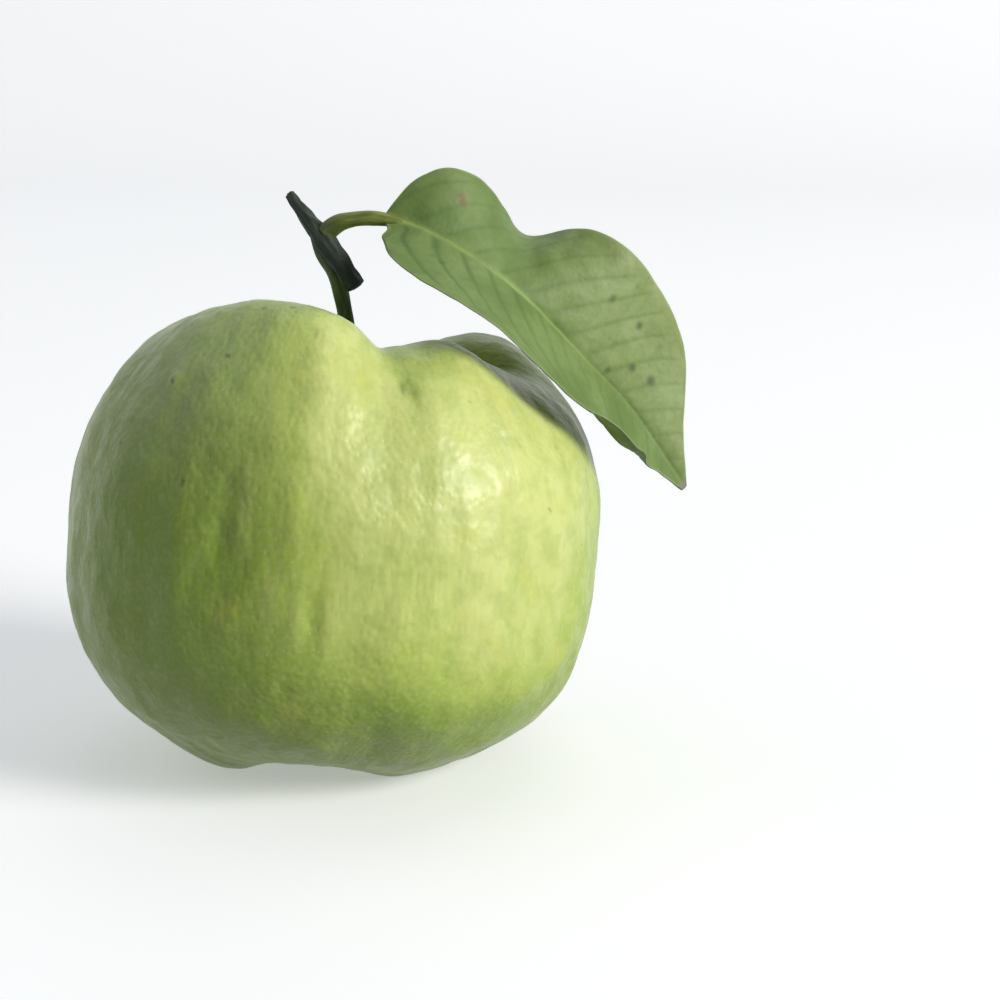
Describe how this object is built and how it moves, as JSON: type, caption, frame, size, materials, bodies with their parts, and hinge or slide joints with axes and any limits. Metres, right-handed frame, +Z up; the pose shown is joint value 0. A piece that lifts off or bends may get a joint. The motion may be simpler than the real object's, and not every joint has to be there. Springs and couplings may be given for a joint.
{
  "type": "guava fruit with stalk and leaf",
  "caption": "Whole round green guava with a deep stalk cavity, furrowed shoulders, its fruit stalk, a stub of twig and a folded leaf that arches over one side.",
  "frame": {"origin": "on the ground below the middle of the whole piece's box, at the level of the low flats that the fruit rests on", "axes": "+Z up, -Y the front from which the upper face of the leaf is seen, +X the side that the leaf arches over"},
  "size_m": [0.1114, 0.0924, 0.1049],
  "materials": {
    "skin": "waxy yellow-green fruit skin, satin, mottled with fine specks",
    "calyx": "dry brown sepals",
    "twig": "blackish green bark",
    "fruit_stalk": "dark green woody stalk",
    "leaf_stalk": "olive green leaf stalk",
    "leaf": "satin green leaf with a paler rib"
  },
  "bodies": {
    "root": {"fruit": "skin", "calyx": "calyx", "twig": "twig", "fruit_stalk": "fruit_stalk", "leaf_stalk": "leaf_stalk", "leaf_blade": "leaf"}
  },
  "joints": []
}
